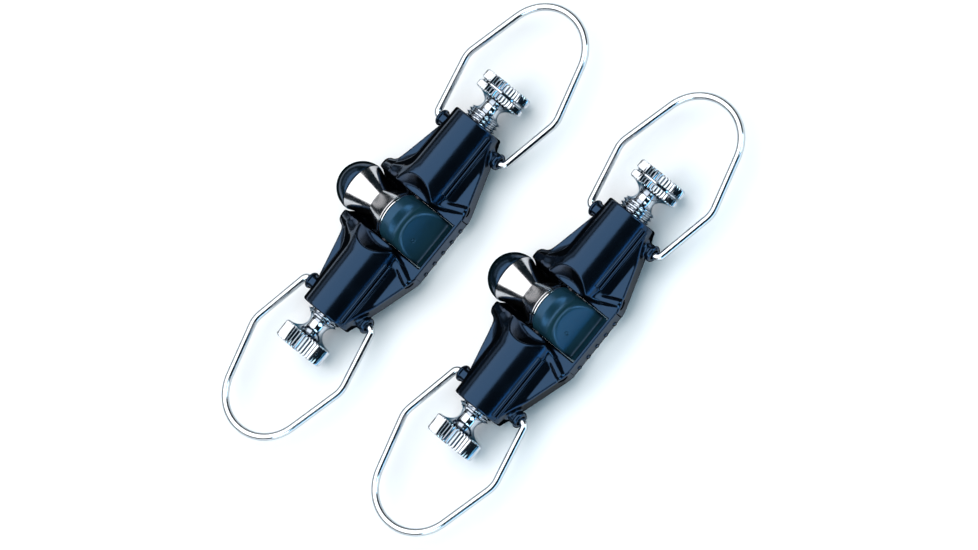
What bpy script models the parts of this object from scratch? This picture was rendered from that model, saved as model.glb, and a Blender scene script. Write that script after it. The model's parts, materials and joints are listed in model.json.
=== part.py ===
"""A pair of outrigger release clips, lying side by side on their flat feet at z = 0.

Each clip is a moulded housing with a barrel at either end. A trigger arm with a V roller rocks in the slot
between the barrels. A spring in each barrel presses a plunger against the arm, a knob screwed into the barrel
sets the spring's load, and a wire bail swings at each end.

A clip's own frame has X along the barrels, Y across them with the roller towards -Y, and Z up. Its origin is
where the arm's rocking axis (X) meets the roller's axis (Y).
"""

import math

import bmesh
import bpy
from mathutils import Matrix, Vector

MM = 0.001
GAP = 0.3 * MM  # clearance between pieces that touch
PAST = 1.0 * MM  # how far a cutter runs past the face that it opens

# the pair
CLIP_OFFSET_X = -7.6 * MM
CLIP_OFFSET_Y = 61.2 * MM

# housing
BARREL_RADIUS = 9.1 * MM
BARREL_END = 37.5 * MM
BARREL_CHAMFER = 0.5 * MM
FOOT_DEPTH = 10.0 * MM
FOOT_HALF_WIDTH = 4.5 * MM
FOOT_START = 14.0 * MM
FOOT_END = 36.5 * MM
FLANGE_TOP = 2.5 * MM
FLANGE_BOTTOM = -4.0 * MM
BACK_EDGE_Y = 17.2 * MM
BACK_EDGE_HALF_LENGTH = 12.1 * MM
BACK_TAPER_END = (36.6 * MM, 8.4 * MM)
FRONT_TAPER_END = (33.0 * MM, -8.5 * MM)
FRONT_WAIST = (15.4 * MM, -12.9 * MM)
HORN_ROOT = (13.1 * MM, -14.3 * MM)
HORN_TIP = (11.7 * MM, -16.9 * MM)

# slot for the trigger arm, the saddle under the roller and the bowl above them
SLOT_HALF_WIDTH = 8.4 * MM
SLOT_BACK_Y = 15.6 * MM
SADDLE_HALF_WIDTH = 11.0 * MM
SADDLE_DEPTH = 9.8 * MM
SADDLE_FRONT_Y = -16.4 * MM
SADDLE_BACK_Y = -7.3 * MM  # stays clear of the arm's swinging lower corner
BOWL_CENTRE_Y = 0.3 * MM
BOWL_FLOOR_RADIUS = 9.2 * MM
BOWL_FLOOR_HEIGHT = 3.2 * MM
BOWL_RIM_RADIUS = 13.2 * MM

# bores along the barrels
SCREW_BORE_RADIUS = 5.8 * MM
SCREW_BORE_START = 15.0 * MM
NOSE_BORE_RADIUS = 2.2 * MM

# eyelets and bails
PIVOT_X = 32.0 * MM
PIVOT_Z = -2.0 * MM
EYELET_RADIUS = 2.8 * MM
EYELET_ROOT_Y = 7.5 * MM
EYELET_FACE_Y = 13.3 * MM
EYELET_HOLE_END_Y = 9.2 * MM
WIRE_RADIUS = 1.2 * MM
WIRE_END_Y = 9.6 * MM
BAIL_SHOULDER_Y = 15.0 * MM
BAIL_KINK = (20.3 * MM, 19.8 * MM)
BAIL_END = (48.9 * MM, 11.15 * MM)
BAIL_BEND_RADII = (1.8 * MM, 8.0 * MM, 14.8 * MM)

# trigger arm
ARM_HALF_WIDTH = 7.9 * MM
ARM_START_Y = -1.4 * MM
ARM_COLLAR_END_Y = 1.4 * MM
ARM_NECK = (3.8 * MM, 6.6 * MM)
ARM_FACE_TOP = (6.6 * MM, 7.9 * MM)
ARM_FACE_BOTTOM = (12.4 * MM, -2.1 * MM)
ARM_BASE_Z = -6.8 * MM
SOCKET_RADIUS = 1.58 * MM
SOCKET_DEPTH = 1.9 * MM
AXLE_BORE_RADIUS = 2.5 * MM
AXLE_BORE_END_Y = 5.6 * MM

# roller, its axle, washer and cap nut
WASHER_RADIUS = 7.8 * MM
WASHER_FACES_Y = (-2.05 * MM, -1.7 * MM)
ROLLER_START_Y = -2.35 * MM
ROLLER_RIM_RADIUS = 8.1 * MM
ROLLER_RIM_WIDTH = 0.3 * MM
ROLLER_WAIST = (-9.5 * MM, 4.8 * MM)
ROLLER_END_Y = -17.7 * MM
DOME_RADIUS = 8.1 * MM
DOME_START_Y = -18.0 * MM
DOME_BORE_END_Y = -21.2 * MM
AXLE_RADIUS = 2.2 * MM
AXLE_ENDS_Y = (-20.8 * MM, 5.2 * MM)

# plungers, springs and spring seats
PLUNGER_TIP = 6.3 * MM
PLUNGER_TIP_RADIUS = 1.5 * MM
PLUNGER_SHANK_START = 8.6 * MM
PLUNGER_SHANK_RADIUS = 1.9 * MM
PLUNGER_HEAD_START = 15.3 * MM
PLUNGER_HEAD_END = 17.3 * MM
HEAD_RADIUS = 5.4 * MM
PILOT_RADIUS = 2.6 * MM
PLUNGER_PILOT_END = 20.0 * MM
SPRING_MEAN_RADIUS = 4.1 * MM
SPRING_WIRE_RADIUS = 0.5 * MM
SPRING_TURNS = 4.5
SEAT_THICKNESS = 1.5 * MM
SEAT_PILOT_LENGTH = 2.6 * MM

# tension knobs
SCREW_RADIUS = 5.5 * MM
SCREW_LENGTH = 12.0 * MM
SCREW_CHAMFER = 0.6 * MM
NECK_RADIUS = 3.0 * MM
NECK_ROOT_RADIUS = 5.0 * MM
KNURL_RADIUS = 8.35 * MM
KNURL_CHAMFER = 0.5 * MM
KNURL_GROOVE_DEPTH = 0.8 * MM
KNURL_GROOVE_HALF_WIDTH = 0.6 * MM
# (screw's outer end, knurl's inner face, knurl's outer face, has a groove), along the barrel
KNOB_RIGHT = (39.3 * MM, 45.5 * MM, 51.3 * MM, False)
KNOB_LEFT = (41.1 * MM, 46.4 * MM, 52.6 * MM, True)

# facets
BARREL_SIDES = 40
ROUND_SIDES = 28
SMALL_SIDES = 16
WIRE_SIDES = 8
SPRING_WIRE_SIDES = 5
SPRING_STEPS_PER_TURN = 10
DOME_STEPS = 6
NECK_STEPS = 6
BEND_STEPS = 5
SHARP_ANGLE = math.radians(35)


def mesh_from(bm, name):
    """Close a bmesh into a mesh whose faces point out."""
    bmesh.ops.recalc_face_normals(bm, faces=bm.faces)
    mesh = bpy.data.meshes.new(name)
    bm.to_mesh(mesh)
    bm.free()
    return mesh


def bridge(bm, first, second):
    """Faces between two rings of vertices, either of which may be a single point."""
    count = max(len(first), len(second))
    for i in range(count):
        j = (i + 1) % count
        corners = [first[i % len(first)], first[j % len(first)]]
        corners += [second[j % len(second)], second[i % len(second)]]
        bm.faces.new(list(dict.fromkeys(corners)))


def turned(name, profile, axis, sides, hollow=False):
    """A solid turned about the X or Y axis from (distance along the axis, radius) points.

    A hollow profile is a closed loop that stays clear of the axis.
    """
    bm = bmesh.new()
    rings = []
    for along, radius in profile:
        ring = []
        for i in range(sides if radius > 0 else 1):
            turn = 2 * math.pi * i / sides
            across, up = radius * math.cos(turn), radius * math.sin(turn)
            point = (along, across, up) if axis == "X" else (across, along, up)
            ring.append(bm.verts.new(point))
        rings.append(ring)
    for first, second in zip(rings, rings[1:]):
        bridge(bm, first, second)
    if hollow:
        bridge(bm, rings[-1], rings[0])
    return mesh_from(bm, name)


def prism(name, outline, low, high):
    """A plate of constant thickness along Z from an outline in X and Y."""
    bm = bmesh.new()
    face = bm.faces.new([bm.verts.new((x, y, low)) for x, y in outline])
    raised = bmesh.ops.extrude_face_region(bm, geom=[face])["geom"]
    tops = [v for v in raised if isinstance(v, bmesh.types.BMVert)]
    bmesh.ops.translate(bm, vec=(0, 0, high - low), verts=tops)
    return mesh_from(bm, name)


def block(name, low, high):
    """A box between two corners."""
    outline = [(low[0], low[1]), (high[0], low[1]), (high[0], high[1]), (low[0], high[1])]
    return prism(name, outline, low[2], high[2])


def rod(name, start, end, radius, sides):
    """A plain round rod between two points."""
    return swept(name, [Vector(start), Vector(end)], radius, sides)


def swept(name, path, radius, sides):
    """A round wire of one radius along a path, with flat ends."""
    bm = bmesh.new()
    tangents = [(b - a).normalized() for a, b in zip(path, path[1:])]
    side = tangents[0].orthogonal().normalized()
    rings = []
    for i, point in enumerate(path):
        before, after = tangents[max(i - 1, 0)], tangents[min(i, len(tangents) - 1)]
        along = (before + after).normalized()
        side = (side - along * side.dot(along)).normalized()
        up = along.cross(side)
        turns = [2 * math.pi * k / sides for k in range(sides)]
        rings.append([bm.verts.new(point + radius * (side * math.cos(t) + up * math.sin(t))) for t in turns])
    for first, second in zip(rings, rings[1:]):
        bridge(bm, first, second)
    bm.faces.new(rings[0])
    bm.faces.new(rings[-1])
    return mesh_from(bm, name)


def rounded_path(corners, radii, steps):
    """Straight stretches between corners, with an arc at each inner corner."""
    path = [corners[0]]
    for before, corner, after, radius in zip(corners, corners[1:], corners[2:], radii):
        inward, outward = (before - corner).normalized(), (after - corner).normalized()
        half = inward.angle(outward) / 2
        centre = corner + (inward + outward).normalized() * radius / math.sin(half)
        start = corner + inward * radius / math.tan(half) - centre
        end = corner + outward * radius / math.tan(half) - centre
        path += [centre + radius * start.slerp(end, i / steps).normalized() for i in range(steps + 1)]
    return path + [corners[-1]]


def combined(mesh, tools, operation):
    """The mesh after a Boolean with each of the tools in turn."""
    target = bpy.data.objects.new(mesh.name, mesh)
    bpy.context.scene.collection.objects.link(target)
    helpers = []
    for tool in tools:
        helper = bpy.data.objects.new("tool", tool)
        bpy.context.scene.collection.objects.link(helper)
        helpers.append(helper)
        step = target.modifiers.new("step", "BOOLEAN")
        step.operation = operation
        step.object = helper
    result = bpy.data.meshes.new_from_object(target.evaluated_get(bpy.context.evaluated_depsgraph_get()))
    result.name = mesh.name
    for helper in [target] + helpers:
        bpy.data.objects.remove(helper)
    return result


def flange_outline():
    """The flange's plan: straight back edge, tapers towards the barrel ends, flared horns at the front."""
    back = [(BACK_EDGE_HALF_LENGTH, BACK_EDGE_Y), BACK_TAPER_END]
    front = [FRONT_TAPER_END, FRONT_WAIST, HORN_ROOT, HORN_TIP]
    right = back + front
    return right + [(-x, y) for x, y in reversed(right)]


def bowl():
    """The conical recess over the slot, as a cutter."""
    slope = (BOWL_RIM_RADIUS - BOWL_FLOOR_RADIUS) / (BARREL_RADIUS - BOWL_FLOOR_HEIGHT)
    top = BARREL_RADIUS + PAST
    radius = BOWL_RIM_RADIUS + slope * PAST
    floor = BOWL_FLOOR_HEIGHT
    profile = [(floor, 0), (floor, BOWL_FLOOR_RADIUS), (top, radius), (top, 0)]
    mesh = turned("bowl", profile, "X", BARREL_SIDES)
    mesh.transform(Matrix.Translation((0, BOWL_CENTRE_Y, 0)) @ Matrix.Rotation(-math.pi / 2, 4, "Y"))
    return mesh


def roller_trough():
    """The round-bottomed channel that the roller lies in, open at the top, as a cutter."""
    steps, top = ROUND_SIDES // 2, BARREL_RADIUS + PAST
    turns = [math.pi + math.pi * i / steps for i in range(steps + 1)]
    outline = [(SLOT_HALF_WIDTH * math.cos(t), SLOT_HALF_WIDTH * math.sin(t)) for t in turns]
    outline += [(SLOT_HALF_WIDTH, top), (-SLOT_HALF_WIDTH, top)]
    mesh = prism("roller_trough", outline, 0, SLOT_BACK_Y - HORN_TIP[1] + PAST)
    mesh.transform(Matrix.Translation((0, SLOT_BACK_Y, 0)) @ Matrix.Rotation(math.pi / 2, 4, "X"))
    return mesh


def housing():
    """The moulded body: barrels, feet, flange, saddle and eyelets, less the slot, bowl and bores."""
    end, chamfer = BARREL_END, BARREL_CHAMFER
    profile = [(-end, 0), (-end, BARREL_RADIUS - chamfer), (chamfer - end, BARREL_RADIUS)]
    profile += [(-along, radius) for along, radius in reversed(profile)]
    body = turned("housing", profile, "X", BARREL_SIDES)
    solids = [
        prism("flange", flange_outline(), FLANGE_BOTTOM, FLANGE_TOP),
        block("saddle", (-SADDLE_HALF_WIDTH, SADDLE_FRONT_Y, -SADDLE_DEPTH),
              (SADDLE_HALF_WIDTH, SADDLE_BACK_Y, 0)),
    ]
    cutters = [
        roller_trough(),
        block("arm_slot", (-SLOT_HALF_WIDTH, SADDLE_BACK_Y, -FOOT_DEPTH - PAST),
              (SLOT_HALF_WIDTH, SLOT_BACK_Y, BARREL_RADIUS + PAST)),
        bowl(),
    ]
    for way in (1, -1):
        foot_ends = sorted((way * FOOT_START, way * FOOT_END))
        solids.append(block("foot", (foot_ends[0], -FOOT_HALF_WIDTH, -FOOT_DEPTH),
                            (foot_ends[1], FOOT_HALF_WIDTH, -BARREL_RADIUS / 2)))
        cutters.append(rod("screw_bore", (way * SCREW_BORE_START, 0, 0), (way * (end + PAST), 0, 0),
                           SCREW_BORE_RADIUS, ROUND_SIDES))
        cutters.append(rod("nose_bore", (way * (SLOT_HALF_WIDTH - PAST), 0, 0),
                           (way * (SCREW_BORE_START + PAST), 0, 0), NOSE_BORE_RADIUS, SMALL_SIDES))
        for side in (1, -1):
            solids.append(rod("eyelet", (way * PIVOT_X, side * EYELET_ROOT_Y, PIVOT_Z),
                              (way * PIVOT_X, side * EYELET_FACE_Y, PIVOT_Z), EYELET_RADIUS, SMALL_SIDES))
            cutters.append(rod("eyelet_hole", (way * PIVOT_X, side * EYELET_HOLE_END_Y, PIVOT_Z),
                               (way * PIVOT_X, side * (EYELET_FACE_Y + PAST), PIVOT_Z),
                               WIRE_RADIUS + GAP, SMALL_SIDES))
    return combined(combined(body, solids, "UNION"), cutters, "DIFFERENCE")


def arm_section(top, base):
    """Half-round top and square base, in X and Z."""
    steps = ROUND_SIDES // 2
    arch = [(ARM_HALF_WIDTH * math.cos(math.pi * i / steps), top * math.sin(math.pi * i / steps))
            for i in range(steps + 1)]
    return arch + [(-ARM_HALF_WIDTH, base), (ARM_HALF_WIDTH, base)]


def trigger_arm():
    """The rocking block: collar, hollow neck and flared end with a slanted D-shaped face."""
    bm = bmesh.new()
    (top_y, top_z), (bottom_y, bottom_z) = ARM_FACE_TOP, ARM_FACE_BOTTOM
    lean = (bottom_y - top_y) / (top_z - bottom_z)
    stations = [(ARM_START_Y, ARM_HALF_WIDTH), (ARM_COLLAR_END_Y, ARM_HALF_WIDTH), ARM_NECK]
    rings = [[bm.verts.new((x, y, z)) for x, z in arm_section(top, ARM_BASE_Z)] for y, top in stations]
    end = arm_section(top_z, ARM_BASE_Z)
    end_y = [top_y + lean * (top_z - max(z, bottom_z)) for x, z in end]
    rings.append([bm.verts.new((x, y, z)) for (x, z), y in zip(end, end_y)])
    for first, second in zip(rings, rings[1:]):
        bridge(bm, first, second)
    bm.faces.new(rings[0])
    bm.faces.new(rings[-1])
    bmesh.ops.triangulate(bm, faces=bm.faces)
    body = mesh_from(bm, "trigger_arm")
    bore_start, bore_end = (0, ARM_START_Y - PAST, 0), (0, AXLE_BORE_END_Y, 0)
    cutters = [rod("axle_bore", bore_start, bore_end, AXLE_BORE_RADIUS, SMALL_SIDES)]
    for way in (1, -1):
        cutters.append(rod("socket", (way * (ARM_HALF_WIDTH - SOCKET_DEPTH), 0, 0),
                           (way * (ARM_HALF_WIDTH + PAST), 0, 0), SOCKET_RADIUS, SMALL_SIDES))
    return combined(body, cutters, "DIFFERENCE")


def roller():
    """The V roller, turned about Y, with a plain bore."""
    waist_y, waist_radius = ROLLER_WAIST
    profile = [
        (ROLLER_START_Y, AXLE_BORE_RADIUS),
        (ROLLER_START_Y, ROLLER_RIM_RADIUS),
        (ROLLER_START_Y - ROLLER_RIM_WIDTH, ROLLER_RIM_RADIUS),
        (waist_y, waist_radius),
        (ROLLER_END_Y, DOME_RADIUS),
        (ROLLER_END_Y, AXLE_BORE_RADIUS),
    ]
    return turned("roller", profile, "Y", ROUND_SIDES, hollow=True)


def thrust_washer():
    """The thin washer between the arm and the roller."""
    front, back = WASHER_FACES_Y
    profile = [
        (front, AXLE_BORE_RADIUS),
        (front, WASHER_RADIUS),
        (back, WASHER_RADIUS),
        (back, AXLE_BORE_RADIUS),
    ]
    return turned("thrust_washer", profile, "Y", ROUND_SIDES, hollow=True)


def dome_cap():
    """The domed nut on the axle's outer end."""
    profile = [(DOME_BORE_END_Y, 0), (DOME_BORE_END_Y, AXLE_BORE_RADIUS), (DOME_START_Y, AXLE_BORE_RADIUS)]
    for i in range(DOME_STEPS + 1):
        turn = math.pi / 2 * i / DOME_STEPS
        radius = DOME_RADIUS * math.cos(turn) if i < DOME_STEPS else 0
        profile.append((DOME_START_Y - DOME_RADIUS * math.sin(turn), radius))
    return turned("dome_cap", profile, "Y", ROUND_SIDES)


def roller_axle():
    """The pin that the roller turns on."""
    start, end = AXLE_ENDS_Y
    return rod("roller_axle", (0, start, 0), (0, end, 0), AXLE_RADIUS, SMALL_SIDES)


def plunger():
    """A stepped pin along +X: tip in the arm's socket, shank in the slot's wall, head in the barrel."""
    profile = [
        (PLUNGER_TIP, 0),
        (PLUNGER_TIP, PLUNGER_TIP_RADIUS),
        (PLUNGER_SHANK_START, PLUNGER_TIP_RADIUS),
        (PLUNGER_SHANK_START, PLUNGER_SHANK_RADIUS),
        (PLUNGER_HEAD_START, PLUNGER_SHANK_RADIUS),
        (PLUNGER_HEAD_START, HEAD_RADIUS),
        (PLUNGER_HEAD_END, HEAD_RADIUS),
        (PLUNGER_HEAD_END, PILOT_RADIUS),
        (PLUNGER_PILOT_END, PILOT_RADIUS),
        (PLUNGER_PILOT_END, 0),
    ]
    return turned("plunger", profile, "X", SMALL_SIDES)


def seat_face(knob):
    """Where a knob's spring seat meets its spring."""
    return knob[0] - SCREW_LENGTH - GAP - SEAT_THICKNESS


def spring_seat(knob):
    """The disc between the spring and the knob's screw, with a pilot inside the spring."""
    face = seat_face(knob)
    profile = [
        (face - SEAT_PILOT_LENGTH, 0),
        (face - SEAT_PILOT_LENGTH, PILOT_RADIUS),
        (face, PILOT_RADIUS),
        (face, HEAD_RADIUS),
        (face + SEAT_THICKNESS, HEAD_RADIUS),
        (face + SEAT_THICKNESS, 0),
    ]
    return turned("spring_seat", profile, "X", SMALL_SIDES)


def spring(knob):
    """The compression spring between the plunger's head and the spring seat."""
    clear = SPRING_WIRE_RADIUS + GAP
    start, end = PLUNGER_HEAD_END + clear, seat_face(knob) - clear
    steps, radius = int(SPRING_TURNS * SPRING_STEPS_PER_TURN), SPRING_MEAN_RADIUS
    path = []
    for i in range(steps + 1):
        turn = 2 * math.pi * SPRING_TURNS * i / steps
        along = start + (end - start) * i / steps
        path.append(Vector((along, radius * math.cos(turn), radius * math.sin(turn))))
    return swept("spring", path, SPRING_WIRE_RADIUS, SPRING_WIRE_SIDES)


def tension_knob(knob):
    """Screw, waisted neck and knurled head, turned as one piece."""
    screw_end, head_start, head_end, grooved = knob
    start, waist = screw_end - SCREW_LENGTH, (screw_end + head_start) / 2
    middle, chamfer = (head_start + head_end) / 2, KNURL_CHAMFER
    profile = [
        (start, 0),
        (start, SCREW_RADIUS - SCREW_CHAMFER),
        (start + SCREW_CHAMFER, SCREW_RADIUS),
        (screw_end - SCREW_CHAMFER, SCREW_RADIUS),
        (screw_end, NECK_ROOT_RADIUS),
    ]
    for i in range(1, NECK_STEPS):
        along = screw_end + (head_start - screw_end) * i / NECK_STEPS
        rise = ((along - waist) / (head_start - waist)) ** 2
        reach = KNURL_RADIUS - chamfer if along > waist else NECK_ROOT_RADIUS
        profile.append((along, NECK_RADIUS + (reach - NECK_RADIUS) * rise))
    profile += [(head_start, KNURL_RADIUS - chamfer), (head_start + chamfer, KNURL_RADIUS)]
    if grooved:
        floor, half = KNURL_RADIUS - KNURL_GROOVE_DEPTH, KNURL_GROOVE_HALF_WIDTH
        profile += [(middle - half, KNURL_RADIUS), (middle - half, floor)]
        profile += [(middle + half, floor), (middle + half, KNURL_RADIUS)]
    profile += [(head_end - chamfer, KNURL_RADIUS), (head_end, KNURL_RADIUS - chamfer), (head_end, 0)]
    return turned("tension_knob", profile, "X", ROUND_SIDES)


def bail():
    """The bent wire, about its pivot: turned-in ends, shoulders, a kink on each leg and a round end."""
    half = [(0, WIRE_END_Y), (0, BAIL_SHOULDER_Y), BAIL_KINK, BAIL_END]
    corners = [Vector((x, y, 0)) for x, y in half] + [Vector((x, -y, 0)) for x, y in reversed(half)]
    radii = BAIL_BEND_RADII + tuple(reversed(BAIL_BEND_RADII))
    return swept("bail", rounded_path(corners, radii, BEND_STEPS), WIRE_RADIUS, WIRE_SIDES)


def material(name, colour, roughness, metallic):
    """A plain Principled material."""
    made = bpy.data.materials.new(name)
    made.use_nodes = True
    shader = made.node_tree.nodes["Principled BSDF"]
    shader.inputs["Base Color"].default_value = (*colour, 1)
    shader.inputs["Roughness"].default_value = roughness
    shader.inputs["Metallic"].default_value = metallic
    return made


def place(name, mesh, look, parent, location=(0, 0, 0), half_turn=False):
    """Put a sub-part in the scene under its clip's empty, turned round for the left end."""
    piece = bpy.data.objects.new(name, mesh)
    bpy.context.scene.collection.objects.link(piece)
    if not mesh.materials:
        mesh.materials.append(look)
        mesh.shade_smooth()
        mesh.set_sharp_from_angle(angle=SHARP_ANGLE)
    piece.parent = parent
    piece.location = location
    piece.rotation_euler = (0, 0, math.pi if half_turn else 0)
    return piece


def clip_centres():
    """Where the two clips' origins stand, so that the pair is centred over the frame's origin."""
    bail_reach = bail_half_width()
    front_reach = DOME_RADIUS - DOME_START_Y
    middle_y = (CLIP_OFFSET_Y + bail_reach - front_reach) / 2
    return {
        "clip_a": (-CLIP_OFFSET_X / 2, -middle_y, FOOT_DEPTH),
        "clip_b": (CLIP_OFFSET_X / 2, CLIP_OFFSET_Y - middle_y, FOOT_DEPTH),
    }


def bail_half_width():
    """How far a bail reaches across the clip."""
    return max(v.co.y for v in bail().vertices)


def build():
    """Make each sub-part once and place it in both clips."""
    for old in list(bpy.data.objects):
        bpy.data.objects.remove(old)
    nylon = material("housing_nylon", (0.012, 0.014, 0.018), 0.28, 0.0)
    arm_nylon = material("arm_nylon", (0.014, 0.016, 0.020), 0.38, 0.0)
    cap_nylon = material("cap_nylon", (0.010, 0.011, 0.013), 0.18, 0.0)
    chrome = material("polished_chrome", (0.80, 0.82, 0.85), 0.08, 1.0)
    roller_steel = material("roller_steel", (0.82, 0.83, 0.85), 0.07, 1.0)
    washer_steel = material("washer_steel", (0.75, 0.76, 0.78), 0.15, 1.0)
    wire = material("stainless_wire", (0.70, 0.72, 0.75), 0.16, 1.0)
    spring_wire = material("spring_wire", (0.55, 0.56, 0.58), 0.30, 1.0)
    plain_steel = material("plain_steel", (0.60, 0.61, 0.63), 0.35, 1.0)
    black_steel = material("plunger_steel", (0.06, 0.06, 0.065), 0.40, 1.0)

    central = [
        ("housing", housing(), nylon),
        ("trigger_arm", trigger_arm(), arm_nylon),
        ("roller_axle", roller_axle(), plain_steel),
        ("thrust_washer", thrust_washer(), washer_steel),
        ("roller", roller(), roller_steel),
        ("dome_cap", dome_cap(), cap_nylon),
    ]
    plunger_mesh, bail_mesh = plunger(), bail()
    ends = []
    for end, knob in (("right", KNOB_RIGHT), ("left", KNOB_LEFT)):
        ends += [
            (end, "plunger", plunger_mesh, black_steel),
            (end, "spring", spring(knob), spring_wire),
            (end, "spring_seat", spring_seat(knob), plain_steel),
            (end, "tension_knob", tension_knob(knob), chrome),
            (end, "bail", bail_mesh, wire),
        ]
    for clip, centre in clip_centres().items():
        frame = bpy.data.objects.new(clip, None)
        bpy.context.scene.collection.objects.link(frame)
        frame.location = centre
        for name, mesh, look in central:
            place(f"{clip}_{name}", mesh, look, frame)
        for end, name, mesh, look in ends:
            left = end == "left"
            pivot = (-PIVOT_X if left else PIVOT_X, 0, PIVOT_Z)
            place(f"{clip}_{name}_{end}", mesh, look, frame, pivot if name == "bail" else (0, 0, 0), left)


build()
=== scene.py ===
"""The looks of a pair of outrigger release clips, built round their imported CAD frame.

Lengths in this script are in millimetres in a clip's own frame: X along the barrels, Y across them with the
roller towards -Y, Z up, and the origin where the trigger's rocking axis meets the roller's axis. The floor,
the lights and the materials' relief are in metres. The housing is the same on both sides of X = 0, so its
fields use a, the distance from that plane. A field is below zero inside its shape, and a cut's is below zero
where it takes away.
"""

import json
import math

import bmesh
import bpy
import numpy as np
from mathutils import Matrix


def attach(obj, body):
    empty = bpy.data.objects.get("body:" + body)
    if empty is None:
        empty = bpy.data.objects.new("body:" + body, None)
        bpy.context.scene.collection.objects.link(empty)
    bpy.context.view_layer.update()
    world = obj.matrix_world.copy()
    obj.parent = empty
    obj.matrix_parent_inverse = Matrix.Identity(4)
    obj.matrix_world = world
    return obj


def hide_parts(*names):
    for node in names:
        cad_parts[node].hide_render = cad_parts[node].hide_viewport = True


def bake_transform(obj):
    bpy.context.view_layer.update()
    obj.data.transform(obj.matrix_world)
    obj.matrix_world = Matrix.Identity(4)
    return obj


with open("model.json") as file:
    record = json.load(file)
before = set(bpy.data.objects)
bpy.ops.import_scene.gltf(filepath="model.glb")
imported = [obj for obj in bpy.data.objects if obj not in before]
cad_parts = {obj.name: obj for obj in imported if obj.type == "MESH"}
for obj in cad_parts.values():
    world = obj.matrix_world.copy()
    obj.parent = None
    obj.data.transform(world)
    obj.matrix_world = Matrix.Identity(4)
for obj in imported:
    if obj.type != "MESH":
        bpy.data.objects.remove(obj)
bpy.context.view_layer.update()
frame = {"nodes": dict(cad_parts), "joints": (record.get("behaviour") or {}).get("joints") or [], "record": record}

import openvdb
from mathutils import Matrix, Vector

MM = 0.001

# radius at which a closed end stops short of its axis, a place across the middle plane, one beyond any part
AXIS_GAP, PAST_MIDDLE, FAR = 0.02, -1, 99

# barrels and feet
BARREL_END, BARREL_INNER = 37.5, 14.0
BARREL_RADIUS, BARREL_TAPER, BARREL_ROUNDING = 9.1, 0.017, 0.8
FOOT_SPAN, FOOT_HALF_WIDTH = (14.0, 36.5), 4.5
FOOT_TOP, FOOT_DEPTH = -4, 10.0
FOOT_FILLET, FOOT_ROUNDING = 1.0, 0.4

# flange, which falls towards the back and along the horns beside the roller
FLANGE_OUTLINE = [(-5, 17.15), (12.1, 17.15), (36.6, 8.4), (36.6, -7.6), (33.0, -8.5), (21.0, -11.5),
                  (15.4, -12.9), (13.1, -14.3), (12.5, -16.8), (11.4, -17.9), (-5, -17.9)]
FLANGE_TOP, FLANGE_BOTTOM, FLANGE_ROUNDING, FLANGE_SETBACK = 2.6, -4.0, 0.8, 0.6
FLANGE_FALL, FLANGE_FALL_SPAN = 1.6, (9.0, 12.0)
HORN_SLOPE, HORN_SLOPE_START = 0.45, 12.6
FLANGE_FILLET, HORN_FILLET, HORN_FILLET_Y, HORN_FILLET_X = 0.9, 3.6, (0, 6), (14.5, 19.5)

# ridge from barrel to horn, web beside the slot, beads along the barrel
RIDGE = [((13.6, -3.5, 4.8), 2.6), ((12.4, -7.4, 3.9), 1.9), ((10.8, -11.2, 3.1), 1.4),
         ((9.9, -15.7, 1.1), 0.8)]
WEB = [((10.2, 7.0, 2.0), 1.1), ((13.9, 15.4, 0.9), 1.1)]
RIDGE_FILLET, WEB_FILLET = 2.6, 1.2
BEADS, BEAD_RADIUS = ((8.05, 4.35), (9.0, 3.3)), 0.55
BEAD_MIDDLE, BEAD_HALF_LENGTH, BEAD_ROUNDING, BEAD_FILLET = 24.8, 11.2, 0.6, 0.25

# saddle under the roller, bowl round the trigger, recess beside the slot, and the slot
SADDLE_HALF, SADDLE_DEPTH, SADDLE_FRONT, SADDLE_BACK, SADDLE_FILLET = 11.0, 9.8, -17.8, -7.3, 0.6
BOWL_Y, BOWL_FLOOR, BOWL_HEIGHT = 0.3, 3.0, 5.9
BOWL_FLOOR_RADIUS, BOWL_RIM_RADIUS, BOWL_SLANT = 10.4, 13.5, 0.82
BOWL_FILLET, BOWL_ROUNDING = 1.0, 0.6
RECESS_FRONT, RECESS_FLOOR, RECESS_HEIGHT = 4, 1.0, 2.2
RECESS_FLOOR_EDGE, RECESS_FLOOR_SPREAD = 8.4, 0.25
RECESS_TOP_EDGE, RECESS_TOP_SPREAD = 8.0, 0.43
RECESS_SLANT, RECESS_FILLET, RECESS_ROUNDING = 0.8, 0.6, 0.5
SLOT_HALF, SLOT_BACK, SLOT_ROUNDING = 8.4, 15.6, 0.7

# ribs in the back wall
PANEL_FRONT, PANEL_HALF, PANEL_ROUNDING = 16.85, 11.2, 0.3
RIB_SPACING, RIB_HALF, RIB_TOP, RIBS_END, RIB_FILLET = 4.2, 0.55, -2.0, 9.6, 0.2

# bail eyelets, and the bores for screws and plungers
WIRE_RADIUS = 1.18
PIVOT_X, PIVOT_Z = 32.0, -2.0
EYELET_RADIUS, EYELET_FACE, EYELET_NECK, EYELET_NECK_SPAN = 2.75, 13.3, 0.45, (11.8, 12.3)
EYELET_ROUNDING, EYELET_FILLET = 1.0, 0.8
EYELET_HOLE_END, EYELET_HOLE_GAP, EYELET_HOLE_ROUNDING = 9.2, 0.25, 0.4
SCREW_BORE, SCREW_BORE_START = 5.8, 15.0
NOSE_BORE, NOSE_BORE_START, BORE_ROUNDING = 2.2, SLOT_HALF - 1, 0.5

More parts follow.
